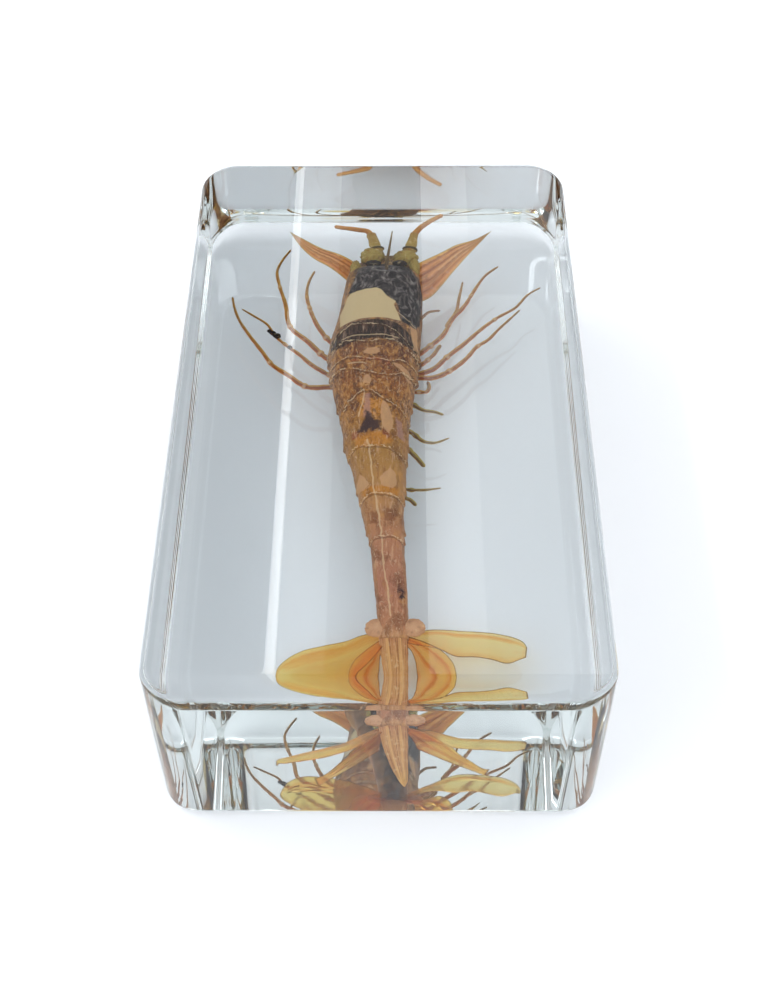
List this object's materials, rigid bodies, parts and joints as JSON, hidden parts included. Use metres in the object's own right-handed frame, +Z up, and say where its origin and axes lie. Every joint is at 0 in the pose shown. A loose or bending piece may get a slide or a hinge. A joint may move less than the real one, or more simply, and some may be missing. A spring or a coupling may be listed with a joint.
{
  "type": "shrimp in resin block",
  "caption": "Whole dried shrimp, tail fan spread, cast in a clear round-cornered resin block that stands on its flat lower face.",
  "frame": {"origin": "middle of the face that the block rests on", "axes": "+Y along the block's length, towards the shrimp's head; +Z up, towards the shrimp's back; +X across the width"},
  "size_m": [0.0624, 0.11, 0.03],
  "materials": {
    "shrimp": "dried orange-brown shell, thin horny fins",
    "clear_resin": "polished clear casting resin, index about 1.5"
  },
  "bodies": {
    "root": {"shrimp": "shrimp", "resin_upper": "clear_resin", "resin_lower": "clear_resin"}
  },
  "joints": []
}
